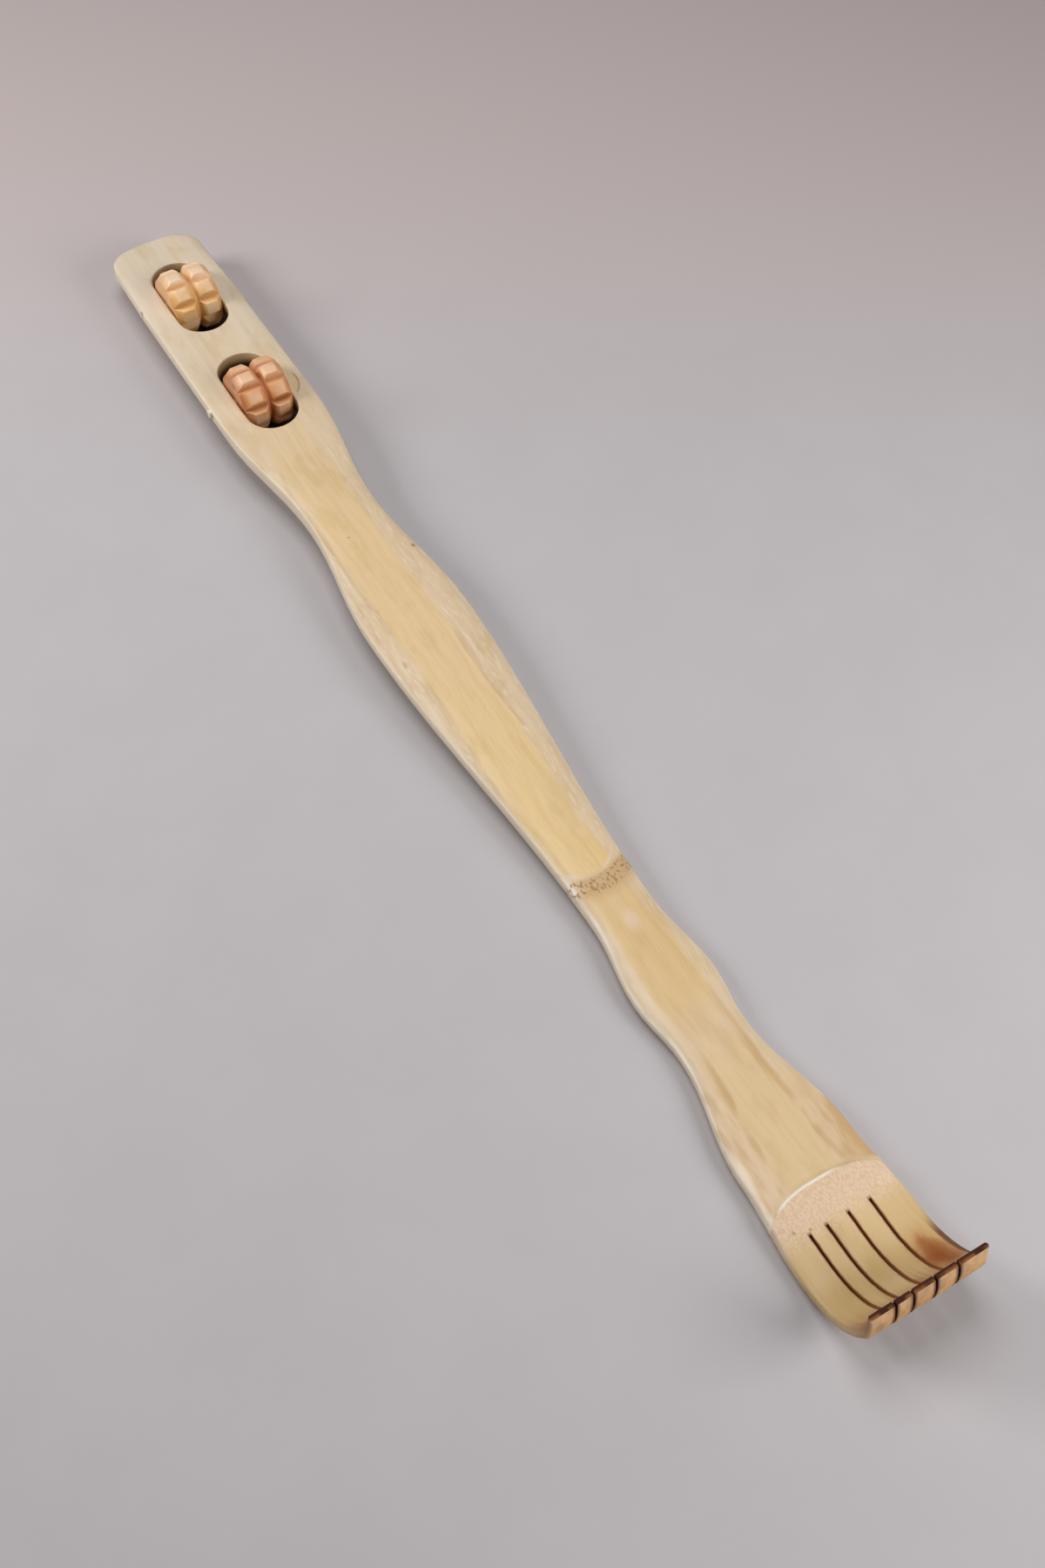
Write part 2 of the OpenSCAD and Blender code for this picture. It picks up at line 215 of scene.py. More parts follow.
class Wiring:
    """Adds nodes to a tree and wires them from left to right."""

    def __init__(self, tree):
        self.tree = tree

    def add(self, kind, inputs=None, **settings):
        """A new node with its settings and its inputs, each a value or another node's socket."""
        node = self.tree.nodes.new(kind)
        for name, value in settings.items():
            setattr(node, name, value)
        for name, value in (inputs or {}).items():
            self.put(node.inputs[name], value)
        return node

    def put(self, socket, value):
        """Link a socket to another, or set its value."""
        if isinstance(value, bpy.types.NodeSocket):
            self.tree.links.new(value, socket)
        else:
            socket.default_value = value

    def math(self, operation, *values):
        """The result of a math node."""
        node = self.add("ShaderNodeMath", operation=operation)
        for socket, value in zip(node.inputs, values):
            self.put(socket, value)
        return node.outputs[0]

    def vector(self, operation, *values):
        """The result of a vector math node."""
        node = self.add("ShaderNodeVectorMath", operation=operation)
        for socket, value in zip(node.inputs, values):
            self.put(socket, value)
        return node.outputs["Value" if operation == "LENGTH" else "Vector"]

    def split(self, vector):
        """The three coordinates of a vector."""
        return self.add("ShaderNodeSeparateXYZ", {"Vector": vector}).outputs

    def use(self, group, **inputs):
        """The outputs of a shared group with these inputs."""
        return self.add("ShaderNodeGroup", inputs, node_tree=group).outputs

    def chain(self, operation, first, *others):
        """One math operation over all the values in turn."""
        for value in others:
            first = self.math(operation, first, value)
        return first

    def times(self, *masks):
        """Where all the masks are high."""
        return self.chain("MULTIPLY", *masks)

    def most(self, *masks):
        """Where any of the masks is high."""
        return self.chain("MAXIMUM", *masks)

    def lift(self, value, gain, base):
        """The base with gain times the value added."""
        return self.math("MULTIPLY_ADD", value, gain, base)

    def stray(self, value, noise, reach):
        """The value, pushed to and fro by a noise within a reach."""
        return self.lift(self.math("SUBTRACT", noise, 0.5), reach, value)

    def away(self, value, middle):
        """How far a value lies from a middle."""
        return self.math("ABSOLUTE", self.math("SUBTRACT", value, middle))

    def rise(self, value, low, high):
        """Smooth mask that is 0 below low and 1 above high; it falls where low is above high."""
        down = low > high
        node = self.add("ShaderNodeMapRange", {
            "Value": value, "From Min": min(low, high), "From Max": max(low, high),
            "To Min": float(down), "To Max": float(not down)}, interpolation_type="SMOOTHSTEP")
        return node.outputs["Result"]

    def zone(self, value, start, full, fade, end):
        """Smooth mask that rises from start to full and falls from fade to end."""
        return self.times(self.rise(value, start, full), self.rise(value, end, fade))

    def mix(self, factor, first, second, blend="MIX"):
        """The first tint, turned into the second by the factor."""
        node = self.add("ShaderNodeMix", data_type="RGBA", blend_type=blend)
        for socket, value in zip((node.inputs[0], node.inputs[6], node.inputs[7]), (factor, first, second)):
            self.put(socket, value)
        return node.outputs[2]

    def glazed(self, tint, glaze, *masks):
        """The tint, darkened by a glaze as far as all the masks let it."""
        return self.mix(self.times(*masks), tint, self.mix(1.0, tint, glaze, "MULTIPLY"))

    def ramp(self, value, *stops):
        """Colours by place: each stop is a place in millimetres and its colour."""
        low, high = mm(stops[0][0], stops[-1][0])
        share = self.add("ShaderNodeMapRange", {"Value": value, "From Min": low, "From Max": high})
        node = self.add("ShaderNodeValToRGB", {"Fac": share.outputs["Result"]})
        elements = node.color_ramp.elements
        while len(elements) < len(stops):
            elements.new(1.0)
        for element, (at, tint) in zip(elements, stops):
            element.position = (at * MM - low) / (high - low)
            element.color = tint
        return node.outputs["Color"]

    def noise(self, vector, scale, stretch=(1, 1, 1), detail=2.0, roughness=0.5):
        """Noise with scale features a metre, drawn out along an axis where its stretch is small."""
        spread = self.vector("MULTIPLY", vector, Vector(stretch) * scale)
        return self.add("ShaderNodeTexNoise", {"Vector": spread, "Scale": 1.0, "Detail": detail,
                                               "Roughness": roughness}).outputs["Fac"]


class Finish(Wiring):
    """A material with one shader, painted layer over layer."""

    def __init__(self, name):
        self.material = bpy.data.materials.new(name)
        self.material.use_nodes = True
        super().__init__(self.material.node_tree)
        self.tree.nodes.clear()
        self.shader = self.add("ShaderNodeBsdfPrincipled")
        self.add("ShaderNodeOutputMaterial", {"Surface": self.shader.outputs["BSDF"]})
        self.tint = None

    def object_point(self):
        """The piece's coordinates in the frame of the solids."""
        return self.add("ShaderNodeTexCoord").outputs["Object"]

    def strip_point(self):
        """The strip's own coordinates: along the fibres, across the strip and through it."""
        return self.add("ShaderNodeAttribute", attribute_name=FIBRE).outputs["Vector"]

    def near_slits(self, across, slits, far, near):
        """Mask that rises from far to near each saw cut."""
        return self.most(*(self.rise(self.away(across, slit), far, near) for slit in slits))

    def paint(self, tint, *masks):
        """Lay a tint over what is there, as far as all the masks let it."""
        self.tint = self.mix(self.times(*masks), self.tint, tint)

    def glaze(self, tint, *masks):
        """Darken what is there by a glaze, as far as all the masks let it."""
        self.tint = self.glazed(self.tint, tint, *masks)

    def relief(self, height):
        """Fine relief, from its height in metres."""
        bump = self.add("ShaderNodeBump", {"Height": height, "Distance": 1.0})
        self.put(self.shader.inputs["Normal"], bump.outputs["Normal"])

    def done(self, roughness, plain=None):
        """The material, with its paint, its roughness and the shader's plain values set."""
        for name, value in {"Base Color": self.tint, "Roughness": roughness, **(plain or {})}.items():
            self.put(self.shader.inputs[name], value)
        return self.material


def shared_group(name, inputs, outputs, build):
    """A shader node group, built once."""
    found = bpy.data.node_groups.get(name)
    if found:
        return found
    tree = bpy.data.node_groups.new(name, "ShaderNodeTree")
    for socket, kind in inputs.items():
        tree.interface.new_socket(socket, in_out="INPUT", socket_type=kind)
    for socket in outputs:
        tree.interface.new_socket(socket, in_out="OUTPUT", socket_type="NodeSocketFloat")
    wiring = Wiring(tree)
    made = build(wiring, wiring.add("NodeGroupInput").outputs)
    ends = wiring.add("NodeGroupOutput")
    for socket, value in made.items():
        wiring.put(ends.inputs[socket], value)
    return tree


def fibre_group():
    """Broad streaks, fine fibres and cloudy patches of bamboo, along the first axis of the vector."""
    def build(wiring, given):
        point = given["Vector"]
        sway = wiring.lift(wiring.noise(point, 32, (0.8, 1.4, 1)), *mm(5.0, -2.5))
        sideways = wiring.add("ShaderNodeCombineXYZ", {"Y": sway})
        swayed = wiring.vector("ADD", point, sideways.outputs["Vector"])
        return {
            "Streak": wiring.noise(swayed, 420, (0.03, 1, 1), 4, 0.55),
            "Fibre": wiring.noise(swayed, 2600, (0.015, 1, 1), 3, 0.6),
            "Cloud": wiring.noise(swayed, 90, (0.4, 1, 1), 3, 0.5),
            "Grit": wiring.noise(swayed, 1500, (0.7, 1, 1), 2, 0.6),
        }
    return shared_group("Bamboo fibres", {"Vector": "NodeSocketVector"},
                        ("Streak", "Fibre", "Cloud", "Grit"), build)


def spot_group():
    """Soft oval mask round a centre, broken at its rim."""
    def build(wiring, given):
        offset = wiring.vector("SUBTRACT", given["Vector"], given["Centre"])
        away = wiring.vector("LENGTH", wiring.vector("DIVIDE", offset, given["Radii"]))
        broken = wiring.times(wiring.noise(given["Vector"], 260, (0.5, 1, 1), 3), given["Ragged"])
        return {"Mask": wiring.rise(wiring.math("ADD", away, broken), 1.0, 0.25)}
    return shared_group("Round spot", {"Vector": "NodeSocketVector", "Centre": "NodeSocketVector",
                                       "Radii": "NodeSocketVector", "Ragged": "NodeSocketFloat"},
                        ("Mask",), build)


def turned_group():
    """Growth rings and pores of a turned bead whose grain runs along Y."""
    def build(wiring, given):
        point = given["Vector"]
        swirl = wiring.add("ShaderNodeTexNoise", {"Vector": point, "Scale": 90.0, "Detail": 2.0})
        shift = wiring.add("ShaderNodeVectorMath", {"Vector": swirl.outputs["Color"], "Scale": 4.0 * MM},
                           operation="SCALE")
        x, _, z = wiring.split(wiring.vector("ADD", point, shift.outputs["Vector"]))
        radius = wiring.math("SQRT", wiring.math("ADD", wiring.times(x, x), wiring.times(z, z)))
        rings = wiring.math("SINE", wiring.times(radius, given["Rings"]))
        return {
            "Ring": wiring.lift(rings, 0.5, 0.5),
            "Pore": wiring.noise(point, 2600, (1, 0.06, 1), 2, 0.6),
            "Cloud": wiring.noise(point, 160, (1, 0.5, 1), 3, 0.55),
        }
    return shared_group("Turned grain", {"Vector": "NodeSocketVector", "Rings": "NodeSocketFloat"},
                        ("Ring", "Pore", "Cloud"), build)


class BambooWall(Finish):
    """Pared inner wall of the bamboo, with its yellow band, stem nodes, veins and scorch."""

    # Bows of the first node's two lines, by the metre, and how far left of the middle their crown lies
    BAND_BOW = 72.0
    ROW_BOW = 26.0
    CROWN = 1.0 * MM

    # Small marks of handling: place along and across, half length, all in millimetres, and strength
    MARKS = ((-52.4, 13.4, 1.3, 0.75), (-65.3, -4.2, 0.8, 0.5), (-9.5, -13.2, 2.6, 0.35),
             (205.5, -14.2, 0.9, 0.6), (207.0, -9.8, 0.7, 0.6))
    MARK_WIDEST = 1.2

    # Centre of the round crescent beside the lower window
    CRESCENT_CENTRE = (-144.2 * MM, 5.0 * MM, 0)

    def __init__(self, sizes, colours):
        super().__init__("bamboo_wall")
        self.sizes, self.colours = sizes, colours
        self.point = self.strip_point()
        self.along, self.across, self.level = self.split(self.point)
        self.normal = self.split(self.add("ShaderNodeNewGeometry").outputs["Normal"])
        self.fibres = self.use(fibre_group(), Vector=self.point)
        self.patches = self.noise(self.point, 130, (0.45, 1, 1), 3, 0.55)
        wander = self.stray(self.across, self.fibres["Streak"], 4.0 * MM)
        self.wander = self.stray(wander, self.fibres["Cloud"], 4.0 * MM)

        # Places along the strip that follow the two bowed nodes
        self.bow = self.bowed(self.BAND_BOW)
        self.rows = self.bowed(self.ROW_BOW)
        outward = self.math("ABSOLUTE", self.math("DIVIDE", self.across, sizes.shelf_half))
        self.wide = self.math("POWER", outward, 3.0)
        self.shelf = self.lift(self.wide, -sizes.shelf_bow, self.along)

    def made(self):
        """The material, after all its layers in order."""
        inside = self.inner_wall()
        self.veins()
        self.grain(inside)
        self.edges()
        self.palm_figure()
        specks = self.first_node()
        rough = self.second_node()
        burnt = self.scorch()
        self.saw_cuts()
        self.windows()
        self.small_marks()
        return self.surface(specks, rough, burnt)

    def bowed(self, bow):
        """Place along the strip, on lines that are bowed by so much."""
        off = self.math("ADD", self.across, self.CROWN)
        return self.lift(self.times(off, off), bow, self.along)

    def run(self, *places):
        """Mask along the strip, from two or four places in millimetres."""
        return (self.rise if len(places) == 2 else self.zone)(self.along, *mm(*places))

    def blot(self, at, out, half_length, half_width, ragged):
        """Soft oval mask round a place along and across the strip, in millimetres."""
        return self.use(spot_group(), Vector=self.point, Centre=(*mm(at, out), 0),
                        Radii=(*mm(half_length, half_width), 1), Ragged=ragged)["Mask"]

    def inner_wall(self):
        """Yellow inner wall between the pared edges. Returns its mask."""
        colours, left, right = self.colours, self.sizes.band_left, self.sizes.band_right
        soft = 1.2 * MM
        band = self.zone(self.wander, left - soft, left + soft, right - soft, right + soft)
        upper_end = self.rise(self.bow, *mm(0.6, -0.4, past=self.sizes.first_node))
        lower = self.times(self.zone(self.wander, *mm(-10.0, -7.2, 6.0, 8.2)), self.run(88, 92))
        inside = self.most(self.times(band, upper_end), lower)
        # Painted shade: on the left the colours come 6 mm sooner, so the left finger darkens sooner
        left_shade_shift = self.lift(self.rise(self.across, *mm(-7, -15)), 6 * MM, self.along)
        wall = self.ramp(
            left_shade_shift, (-240, colours.roller_end), (-205, colours.roller_end), (-72, colours.band),
            (-10, colours.band), (60, colours.band_high), (86, colours.band_high), (91, colours.band_low),
            (132, colours.band_low), (144, colours.palm), (162, colours.palm_middle),
            (204, colours.palm_middle), (224, colours.fingers), (254, colours.fingers))
        pared = self.ramp(
            left_shade_shift, (-240, colours.roller_end), (-195, colours.roller_end), (-100, colours.pared),
            (154, colours.pared), (172, colours.palm), (205, colours.palm), (226, colours.fingers),
            (254, colours.fingers))
        fingers = self.run(203, 210)
        self.tint = self.mix(self.most(inside, fingers), pared, wall)
        return inside

    def veins(self):
        """Brown veins where the band meets the pared edges."""
        right = self.zone(self.wander, *mm(5.6, 6.8, 7.2, 8.6))
        left = self.times(self.zone(self.wander, *mm(-12.7, -11.7, -11.1, -10.1)), self.run(96, 86))
        palm = self.times(self.zone(self.wander, *mm(-10.4, -8.6, -7.0, -5.2)), self.run(140, 160))
        lines = self.chain("ADD", right, left, palm)
        broken = self.rise(self.noise(self.point, 60, (0.35, 2, 1), 3, 0.6), 0.44, 0.62)
        self.paint(self.colours.vein, lines, broken, self.run(-125, -100, 192, 200), 0.45)

    def grain(self, inside):
        """Streaks, fibres, clouds, patches and flecks all over."""
        colours, fibres = self.colours, self.fibres
        marked = self.lift(self.run(-150, -100, 110, 150), 0.1, 0.2)
        self.glaze(colours.streak_glaze, self.rise(fibres["Streak"], 0.35, 0.75), marked)
        self.glaze(colours.fibre_glaze, self.rise(fibres["Fibre"], 0.45, 0.75), marked)
        self.paint(colours.pared, self.rise(fibres["Cloud"], 0.5, 0.75), 0.30)
        self.glaze(colours.patch_glaze, self.rise(self.patches, 0.48, 0.66), 0.35)
        flecks = self.rise(self.noise(self.point, 1100, (0.16, 1, 1), 2, 0.6), 0.52, 0.68)
        outside = self.math("SUBTRACT", 1.0, inside)
        self.paint(colours.sheen_and_flecks, flecks, outside, self.run(-130, -95, 110, 150), 0.4)

    def edges(self):
        """Cut faces along the edges, and painted light on the left: a sheen on the shoulder, a lit edge face
        at the head and a highlight along the arris.
        """
        colours, outward, upward = self.colours, self.normal["Y"], self.normal["Z"]
        # Painted sheen on the left shoulder
        left_sheen = self.lift(self.run(40, 84), 0.05, 0.2)
        self.paint(colours.sheen_and_flecks, self.rise(outward, -0.08, -0.28), self.run(204, 192),
                   self.rise(self.fibres["Streak"], 0.75, 0.35), left_sheen)
        side = self.rise(self.math("ABSOLUTE", outward), 0.45, 0.8)
        self.paint(colours.edge, side, self.run(222, 198), 0.8)
        # Painted light on the left edge face of the head
        self.paint(colours.sheen_and_flecks, self.rise(outward, -0.2, -0.6), self.run(150, 172, 200, 212), 0.9)
        # Painted highlight along the left arris
        arris = self.times(self.zone(outward, -0.95, -0.85, -0.55, -0.35), self.rise(upward, 0.2, 0.4),
                           self.run(0, 45, 198, 206))
        lit = self.math("ADD", self.run(80, 90, 102, 112), self.run(120, 132, 152, 168))
        self.paint(colours.ridge_highlight, arris, self.rise(self.patches, 0.35, 0.6), self.lift(lit, 0.45, 0.3))

    def palm_figure(self):
        """Brown figure and splayed veins on both sides of the palm, and its whitened left margin."""
        figure = self.noise(self.point, 85, (0.36, 1.5, 1), 3, 0.6)
        outward = self.math("ABSOLUTE", self.across)
        flanks = self.rise(outward, *mm(2.5, 8))
        above_node = self.rise(self.shelf, *mm(0, -3, past=self.sizes.second_node))
        self.paint(self.colours.vein, self.rise(figure, 0.46, 0.62), flanks, self.run(150, 168),
                   above_node, 0.75)
        flare = self.most(self.math("SUBTRACT", self.along, 156 * MM), 0.0)
        spread = self.math("SUBTRACT", outward, self.lift(flare, 0.09, 6.4 * MM))
        from_vein = self.math("ABSOLUTE", self.stray(spread, figure, 5 * MM))
        self.paint(self.colours.vein, self.rise(from_vein, *mm(1.5, 0.3)),
                   self.rise(self.patches, 0.35, 0.55), self.run(148, 162), above_node, 0.65)
        margin = self.lift(self.along, 0.105, self.across)
        self.paint(self.colours.sheen_and_flecks, self.rise(margin, *mm(5.2, 3.6)), self.run(174, 186, 199, 207), 0.7)

    def first_node(self):
        """Pale rim round the band's end, brown specks in rows and a pale oval. Returns the specks."""
        colours, node = self.colours, self.sizes.first_node
        rim = self.zone(self.bow, *mm(-0.6, 0.3, 0.6, 1.6, past=node))
        self.paint(colours.node_rough, rim, 0.6)
        smudge = self.zone(self.rows, *mm(-1.5, 1.5, 4, 11, past=node))
        self.paint(colours.vein, smudge, self.rise(self.across, *mm(-9.5, -6)),
                   self.rise(self.fibres["Cloud"], 0.25, 0.6), 0.75)
        dots = self.rise(self.noise(self.point, 1150, (0.7, 1, 1), 2, 0.5), 0.53, 0.62)
        specks = self.times(self.zone(self.rows, *mm(0.2, 1.0, 5.4, 7.0, past=node)), dots)
        self.paint(colours.speck, specks, 0.7)
        self.paint(colours.node_rough, self.blot(104.5, 0, 7, 4.5, ragged=0.3), 0.65)
        return specks

    def second_node(self):
        """Rough wood up to the saw cuts, and a painted highlight along the node's ridge. Returns the rough
        mask.
        """
        colours, grit, node = self.colours, self.fibres["Grit"], self.sizes.second_node
        ragged = self.stray(self.along, grit, 9.0 * MM)
        rough = self.times(self.rise(self.shelf, *mm(0, 0.6, past=node)),
                           self.rise(ragged, *mm(4, -3.5, past=self.sizes.slit_start)))
        gritty = self.glazed(colours.node_rough, colours.grit_glaze, self.rise(grit, 0.38, 0.66), 0.6)
        self.paint(gritty, rough, 0.85)
        # Painted highlight along the node's ridge
        ridge = self.zone(self.shelf, *mm(-0.5, 0, 0.3, 0.8, past=node))
        self.paint(colours.ridge_highlight, ridge, self.rise(self.across, *mm(9, 2)),
                   self.rise(self.wide, 0.9, 0.4), 0.85)
        return rough

    def scorch(self):
        """Scorch of the right finger, the browned tips and the seared right edge. Returns the burnt mask."""
        colours, streak = self.colours, self.fibres["Streak"]
        toasted = self.blot(239, 4.5, 15, 7, ragged=0.5)
        self.paint(colours.scorch, toasted, self.rise(streak, 0.35, 0.6), 0.65)
        burn = self.blot(232, 13.5, 21, 10.5, ragged=0.5)
        self.paint(colours.toast, burn, 0.9)
        self.paint(colours.scorch, self.rise(burn, 0.3, 1.0), self.rise(streak, 0.95, 0.3), 0.9)
        self.paint(colours.scorch, self.blot(232, 12.3, 13, 6.0, ragged=0.4), 0.8)
        tips = self.rise(self.lift(streak, 12 * MM, self.along), *mm(238, 256))
        self.paint(colours.burnt_light, tips, 0.85)
        rim = self.rise(self.lift(streak, 1.5 * MM, self.across), *mm(18.0, 18.9))
        seared = self.times(rim, self.run(217, 226))
        self.paint(colours.char, seared, 0.9)
        return self.most(burn, seared)

    def saw_cuts(self):
        """Browned rims of the saw cuts."""
        wobble = self.stray(self.across, self.noise(self.point, 400, (1, 0.2, 1)), 0.5 * MM)
        charred = self.near_slits(wobble, self.sizes.slits, *mm(0.85, 0.4))
        begun = self.rise(self.along, *mm(-0.6, 0.6, past=self.sizes.slit_start))
        self.paint(self.colours.char, charred, begun, 0.8)

    def windows(self):
        """Walls of the roller windows, with painted shade that darkens them with their depth."""
        sizes = self.sizes
        upright = self.rise(self.math("ABSOLUTE", self.normal["Z"]), 0.75, 0.4)
        between = self.rise(self.away(self.across, sizes.window_middle), *mm(0.6, 0, past=sizes.window_half))
        window = self.times(upright, between, self.rise(self.along, *mm(0, 1, past=sizes.window_start)),
                            self.rise(self.along, *mm(1, 0, past=sizes.window_end)))
        # Painted light and shade: olive high on the window walls, dark brown low down
        self.paint(self.colours.rim, window, self.rise(self.level, *mm(14.4, 12.4)))
        self.paint(self.colours.recess_shade, window, self.rise(self.level, *mm(12.6, 9.0)), 0.95)

    def small_marks(self):
        """Crescent of skin colour with a dark arc beside the lower window, and marks of handling."""
        colours = self.colours
        offset = self.vector("SUBTRACT", self.point, self.CRESCENT_CENTRE)
        from_crescent = self.vector("LENGTH", self.vector("MULTIPLY", offset, (1, 1, 0)))
        tinted = self.rise(from_crescent, *mm(10.4, 9.6))
        self.paint(colours.skin, tinted, self.rise(self.across, *mm(10.5, 12)), 0.4)
        crescent_arc = self.zone(from_crescent, *mm(9.8, 10.3, 10.5, 11.0))
        self.paint(colours.speck, crescent_arc, self.rise(self.across, *mm(11.5, 13)),
                   self.run(-147.5, -145.5), 0.6)
        for at, out, long, strength in self.MARKS:
            mark = self.blot(at, out, long, min(long, self.MARK_WIDEST), ragged=0.2)
            self.paint(colours.speck, mark, strength)

    def surface(self, specks, rough, burnt):
        """Satin sheen and fine relief: fibres, sunken specks, grit and the second node's step."""
        fibres = self.fibres
        height = self.lift(fibres["Fibre"], 0.012 * MM, self.times(fibres["Streak"], 0.06 * MM))
        height = self.lift(specks, -0.12 * MM, height)
        height = self.lift(self.times(rough, fibres["Grit"]), 0.12 * MM, height)
        step = self.rise(self.shelf, *mm(-0.5, 0.4, past=self.sizes.second_node))
        self.relief(self.lift(step, 0.15 * MM, height))
        dull = self.lift(self.most(rough, burnt), 0.2, 0.34)
        return self.done(self.lift(fibres["Cloud"], 0.2, dull))


def bamboo_skin(sizes, colours):
    """Smooth outer skin of the bamboo, pared bright on the outside of the claws."""
    skin = Finish("bamboo_skin")
    point = skin.strip_point()
    along, across, _ = skin.split(point)
    fibres = skin.use(fibre_group(), Vector=point)
    claws = skin.rise(along, *mm(240, 244))
    skin.tint = skin.mix(claws, colours.skin, colours.claw)
    skin.glaze(colours.skin_streak_glaze, skin.rise(fibres["Streak"], 0.4, 0.75), 0.5)
    skin.glaze(colours.skin_fibre_glaze, skin.rise(fibres["Fibre"], 0.5, 0.75), 0.45)
    skin.paint(colours.pared, skin.rise(fibres["Cloud"], 0.55, 0.8), 0.35)
    tinted = skin.rise(skin.noise(point, 260, (0.8, 1, 1), 3), 0.42, 0.66)
    skin.paint(colours.burnt_light, tinted, claws, 0.45)
    # Painted highlight along the top of the claws
    skin.paint(colours.sheen_and_flecks, skin.rise(along, *mm(246, 249)), claws, 0.2)
    skin.paint(colours.char, skin.near_slits(across, sizes.slits, *mm(1.5, 0.5)), claws, 0.85)
    for node in (sizes.first_node + 2.8 * MM, sizes.second_node):
        skin.paint(colours.vein, skin.zone(along, *mm(-1.4, 0, 0, 1.6, past=node)), 0.55)
    skin.relief(skin.lift(fibres["Fibre"], 0.01 * MM, skin.times(fibres["Streak"], 0.05 * MM)))
    return skin.done(skin.lift(fibres["Cloud"], 0.16, skin.lift(claws, 0.1, 0.26)))


def burnt_cut(colours):
    """Browned faces left by the hot saw in the slits, and darker ones across the tips."""
    cut = Finish("burnt_cut")
    point = cut.strip_point()
    along, _, level = cut.split(point)
    fibres = cut.use(fibre_group(), Vector=point)
    browned = cut.rise(cut.noise(point, 330, (0.3, 1, 0.4), 2), 0.38, 0.6)
    outer = cut.rise(level, *mm(4.8, 3.7))
    tips = cut.mix(cut.times(outer, browned, 0.9), colours.burnt, colours.burnt_light)
    streaked = cut.times(cut.rise(fibres["Streak"], 0.4, 0.7), 0.5)
    cut.tint = cut.mix(streaked, colours.saw, colours.burnt_light)
    cut.paint(tips, cut.rise(along, *mm(240, 247)))
    cut.relief(cut.times(fibres["Grit"], 0.08 * MM))
    return cut.done(cut.lift(fibres["Grit"], 0.25, 0.5), {"Specular IOR Level": 0.2})


def turned_wood(name, centre, colours, light, dark, worn_and_sheen, recess_shade):
    """Waxed turned wood of a roller: pale sapwood with rings, a golden side towards the claws that is painted
    shade and bounced light, crests lighter from wear and painted sheen, and painted shade in the notches.
    """
    wood = Finish(name)
    local = wood.vector("SUBTRACT", wood.object_point(), centre)
    radius = wood.vector("LENGTH", wood.vector("MULTIPLY", local, (1, 0, 1)))
    off_heart = wood.vector("ADD", local, (3.0 * MM, 0, 4.0 * MM))
    grain = wood.use(turned_group(), Vector=off_heart, Rings=3200.0)
    # Painted shade and bounced light: the side towards the claws turns golden
    shaded_side = wood.rise(wood.stray(wood.split(local)["X"], grain["Cloud"], 12 * MM), *mm(2.5, 8.5))
    wood.tint = wood.mix(wood.times(shaded_side, 0.85), light, dark)
    wood.paint(dark, grain["Ring"], 0.18)
    # Lighter crests: wear and painted sheen
    wood.paint(worn_and_sheen, wood.rise(radius, *mm(11.3, 11.9)), wood.rise(grain["Cloud"], 0.35, 0.6), 0.5)
    wood.glaze(colours.pore_glaze, wood.rise(grain["Pore"], 0.55, 0.75), 0.4)
    uneven = wood.lift(wood.rise(grain["Cloud"], 0.4, 0.62), 0.5, 0.5)
    # Painted shade in the notches and the groove, where the radius is small
    wood.paint(recess_shade, wood.rise(radius, *mm(11.5, 10.0)), uneven)
    wood.relief(wood.lift(grain["Pore"], -0.015 * MM, wood.times(grain["Ring"], 0.01 * MM)))
    return wood.done(wood.lift(grain["Cloud"], 0.25, 0.3), {"Coat Weight": 0.15, "Coat Roughness": 0.25})


def raw_pin(colours):
    """Raw bamboo of the pins, its fibres along the pin and dark dots in its ends."""
    pin = Finish("raw_pin")
    x, y, z = pin.split(pin.object_point())
    point = pin.add("ShaderNodeCombineXYZ", {"X": y, "Y": x, "Z": z}).outputs["Vector"]
    fibres = pin.use(fibre_group(), Vector=point)
    pin.tint = pin.mix(pin.times(pin.rise(fibres["Fibre"], 0.45, 0.7), 0.6), colours.pin, colours.vein)
    pin.relief(pin.times(fibres["Fibre"], 0.03 * MM))
    return pin.done(pin.lift(fibres["Cloud"], 0.2, 0.45))


def floor_paper(sizes, colours):
    """Matt pale paper, faintly mottled, with a painted tint of the light far off and a painted shadow under
    the roller windows.
    """
    floor = Finish("floor_paper")
    point = floor.object_point()
    x, y, _ = floor.split(point)
    mottled = floor.rise(floor.noise(point, 25, detail=5.0, roughness=0.6), 0.35, 0.65)
    floor.tint = floor.mix(mottled, colours.floor, colours.floor_shade)
    # Painted light: warmer floor tone far off
    far_off = floor.math("SUBTRACT", floor.times(y, 0.6), x)
    floor.paint(colours.floor_far_painted_light, floor.rise(far_off, 0.08, 0.36))
    # Painted shadow under the roller windows
    beside = floor.away(y, sizes.window_middle + 3 * MM)
    floor.paint(colours.floor_painted_shadow, floor.rise(beside, *mm(17, 11)),
                floor.rise(x, *mm(-12, -4, past=sizes.window_start)),
                floor.rise(x, *mm(4, -2, past=sizes.window_end)))
    return floor.done(0.9, {"Specular IOR Level": 0.1})


def only(piece):
    """Select one piece and make it active."""
    bpy.ops.object.select_all(action="DESELECT")
    piece.select_set(True)
    bpy.context.view_layer.objects.active = piece


def copy_of(node, name):
    """A merged copy of a solid, selected."""
    piece = bpy.data.objects.new(name, frame["nodes"][node].data.copy())
    bpy.context.scene.collection.objects.link(piece)
    piece.data.materials.clear()
    only(piece)
    bpy.ops.object.mode_set(mode="EDIT")
    bpy.ops.mesh.select_all(action="SELECT")
    bpy.ops.mesh.customdata_custom_splitnormals_clear()
    bpy.ops.mesh.remove_doubles(threshold=bpy.context.scene.scratcher_sizes.merge)
    bpy.ops.object.mode_set(mode="OBJECT")
    return piece


